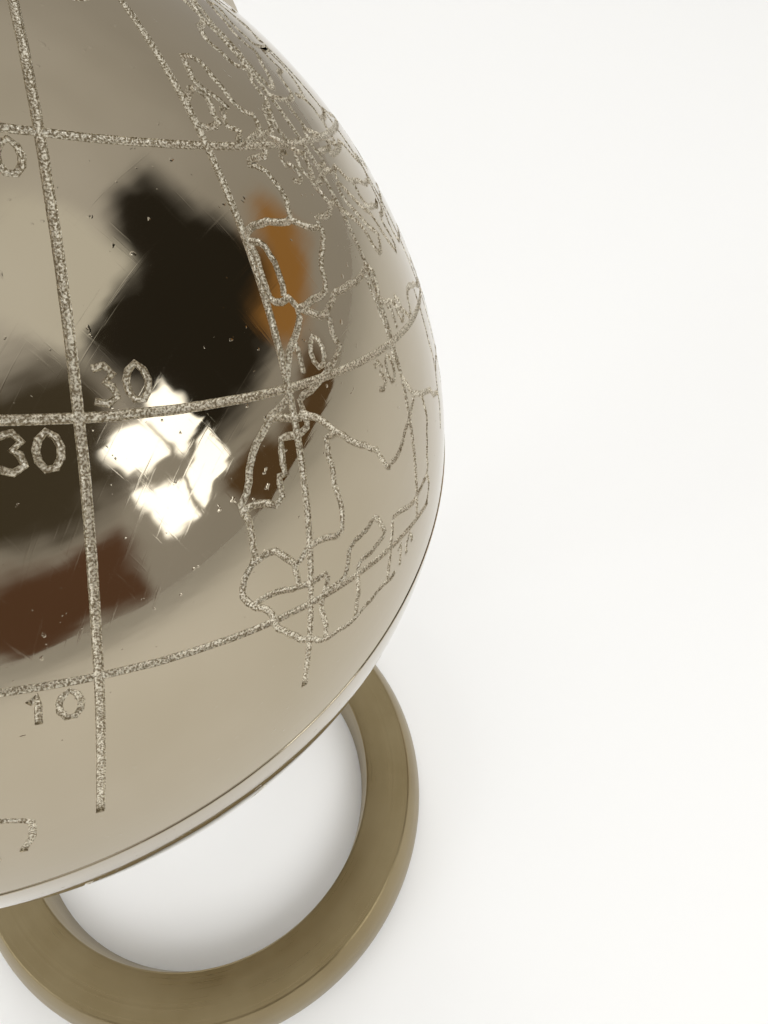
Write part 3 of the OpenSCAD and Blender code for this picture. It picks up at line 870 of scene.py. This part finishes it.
finish_nodes(bronze, "axle_tube", "upper_bush", "lower_bush")
finish_nodes(steel, "upper_back_nut", "lower_back_nut")

# ------------------------------------------------------------------- collars
# A plated collar is screwed on each end of the tube, outside the shell, and
# closes the hole in it. Its underside is hollowed to seat on the shell.
trim, tree, shader = metal("plated_trim", (0.43, 0.37, 0.275), 0.08)
marks = noise(tree, 700, 3)
plug(shader, "Base Color", tint(tree, marks, (0.40, 0.345, 0.25), (0.47, 0.41, 0.315)))
plug(shader, "Roughness", ramp(tree, marks, 0.3, 0.7, 0.05, 0.14))
plug(shader, "Normal", bump(tree, marks, 0.15, 0.00002))
finish_nodes(trim, "upper_collar", "lower_collar")

# --------------------------------------------------------------- base ring
# One heavy cast ring, turned all over and brushed, then lacquered dark brass. A
# crisp edge runs round its level top face; the flank swells out to the foot.
satin, tree, shader = metal("satin_brass", (0.36, 0.29, 0.165), 0.33)
place = Wire.node(tree, "ShaderNodeTexCoord", output="Object")
flat = Wire.node(tree, "ShaderNodeVectorMath", {"operation": "MULTIPLY"}, {0: place, 1: (1, 1, 0)})
reach = Wire.node(tree, "ShaderNodeVectorMath", {"operation": "LENGTH"}, {0: flat}, "Value")
rise = Wire.node(tree, "ShaderNodeSeparateXYZ", None, {0: place}, "Z")
turning = Wire.node(tree, "ShaderNodeCombineXYZ", None, {"X": reach, "Y": rise})
turning = Wire.node(tree, "ShaderNodeTexNoise", None, {"Vector": turning, "Scale": 5200.0, "Detail": 3.0})
bloom = noise(tree, 60, 3)
speck = ramp(tree, noise(tree, 2600, 2), 0.70, 0.78)
plug(shader, "Base Color", tint(tree, ramp(tree, bloom, 0.3, 0.7), (0.27, 0.21, 0.11), (0.33, 0.265, 0.15)))
plug(shader, "Roughness", ramp(tree, turning, 0.3, 0.7, 0.25, 0.38) + ramp(tree, bloom, 0.35, 0.7, 0, 0.06))
brushed = bump(tree, turning, 0.22, 0.00003)
plug(shader, "Normal", bump(tree, speck, 0.4, 0.00004, brushed))

ring_low, ring_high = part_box("base_ring")
ring_r = ring_high[0]
ridge_r = ring_r - 0.0044
hole_r = ring_r - 0.0163
hole_draft = 0.0009
widest_z = ring_low[2] + 0.002
flank_h = ring_high[2] - widest_z
flank_x = (ring_r**2 - ridge_r**2 - flank_h**2) / (2 * (ring_r - ridge_r))
flank_r = ring_r - flank_x
ridge_round = 0.00025
ridge_start = 0.35
rim_round = 0.0006
flank_foot = math.asin((ring_low[2] - widest_z) / flank_r)
flank_top = math.asin((flank_h - ridge_round) / flank_r)
ring_profile = (
    arc(flank_r, flank_foot, flank_top, 28, (flank_x, widest_z))
    + arc(ridge_round, ridge_start, quarter, 5, (ridge_r - ridge_round * 0.85, ring_high[2] - ridge_round))
    + arc(rim_round, quarter, math.pi, 6, (hole_r + rim_round, ring_high[2] - rim_round))
    + [(hole_r - hole_draft * 0.5, (ring_high[2] + ring_low[2]) / 2), (hole_r - hole_draft, ring_low[2])]
)
ring = turned("turned_ring", ring_profile, 256, Matrix.Identity(4), closed=True)
ring.data.materials.append(satin)
screw_low, screw_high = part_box("post_screws")
head_r = (screw_high[0] - screw_low[0]) / 2
screw_x = (screw_high[0] + screw_low[0]) / 2
screw_hole_r = 0.00155
head_clearance = 0.0003
head_seat = ring_low[2] + 0.0045
bores = []
for side in (-1, 1):
    spot = Matrix.Translation((screw_x, side * (screw_high[1] - head_r), 0))
    for radius, low, high in (
        (head_r + head_clearance, ring_low[2] - head_r, head_seat),
        (screw_hole_r, head_seat - head_clearance, ring_high[2] + head_r),
    ):
        bore = turned("bore", [(0, low), (radius, low), (radius, high), (0, high)], 32, spot)
        bore.data.materials.append(satin)
        bores.append(bore)
cut(ring, bores)
for face in ring.data.polygons:
    face.use_smooth = True
ring.data.set_sharp_from_angle(angle=math.radians(30))
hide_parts("base_ring")
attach(ring, "stand")
finish_nodes(satin, "joining_band")

# ------------------------------------------------------- arm, post and screws
# The C-shaped arm is flat bar bent to half a hoop, polished and plated; two
# countersunk screws hold it to the post, whose foot two screws pull to the ring.
edge_angle = math.radians(25)
edge_segments = 3


def eased(node, width, body, material):
    """A copy of a CAD piece with its edges rounded, which stands for the piece."""
    source = frame["nodes"][node]
    solid = bmesh.new()
    solid.from_mesh(source.data)
    bmesh.ops.transform(solid, matrix=source.matrix_world, verts=solid.verts)
    bmesh.ops.remove_doubles(solid, verts=solid.verts, dist=2e-6)
    bmesh.ops.dissolve_limit(solid, angle_limit=math.radians(0.6), verts=solid.verts, edges=solid.edges)
    mesh = bpy.data.meshes.new(node + "_eased")
    solid.to_mesh(mesh)
    solid.free()
    piece = bpy.data.objects.new(node + "_eased", mesh)
    bpy.context.scene.collection.objects.link(piece)
    rounding = piece.modifiers.new("edges", "BEVEL")
    rounding.width = width
    rounding.segments = edge_segments
    rounding.limit_method = "ANGLE"
    rounding.angle_limit = edge_angle
    rounding.harden_normals = True
    rounded = piece.evaluated_get(bpy.context.evaluated_depsgraph_get())
    piece.data = bpy.data.meshes.new_from_object(rounded)
    piece.modifiers.clear()
    piece.data.materials.clear()
    piece.data.materials.append(material)
    for face in piece.data.polygons:
        face.use_smooth = True
    piece.data.set_sharp_from_angle(angle=edge_angle)
    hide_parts(node)
    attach(piece, body)


eased("meridian_arm", 0.00035, "stand", trim)
eased("support_post", 0.0005, "stand", satin)
finish_nodes(steel, "arm_screws", "post_screws")

# --------------------------------------------------- pins, washers, cap nuts
# At each pole a steel pin with a shoulder is held in the arm by a split washer
# and a domed cap nut. A nylon washer keeps its shoulder off the globe's collar.
nylon = bpy.data.materials.new("natural_nylon")
nylon.use_nodes = True
tree = nylon.node_tree
shader = tree.nodes["Principled BSDF"]
marks = noise(tree, 1500, 2)
plug(shader, "Base Color", tint(tree, marks, (0.78, 0.77, 0.71), (0.88, 0.87, 0.82)))
plug(shader, "Roughness", ramp(tree, marks, 0.3, 0.7, 0.42, 0.58))
for end in ("upper", "lower"):
    eased(end + "_cap_nut", 0.00025, "stand", trim)
    finish_nodes(steel, end + "_pivot_pin", end + "_lock_washer")
    finish_nodes(nylon, end + "_thrust_washer")

# ------------------------------------------------------------------ base felt
# A ring of pressed black wool felt, glued under the metal ring.
felt = bpy.data.materials.new("pressed_felt")
felt.use_nodes = True
tree = felt.node_tree
shader = tree.nodes["Principled BSDF"]
shader.inputs["Sheen Weight"].default_value = 0.4
fibres = noise(tree, 2200, 4, (1, 1, 3))
wool = tint(tree, ramp(tree, fibres, 0.35, 0.65), (0.012, 0.012, 0.013), (0.055, 0.054, 0.056))
plug(shader, "Base Color", wool)
plug(shader, "Roughness", ramp(tree, fibres, 0.3, 0.7, 0.85, 1.0))
plug(shader, "Normal", bump(tree, fibres, 0.8, 0.0002))
finish_nodes(felt, "base_felt")
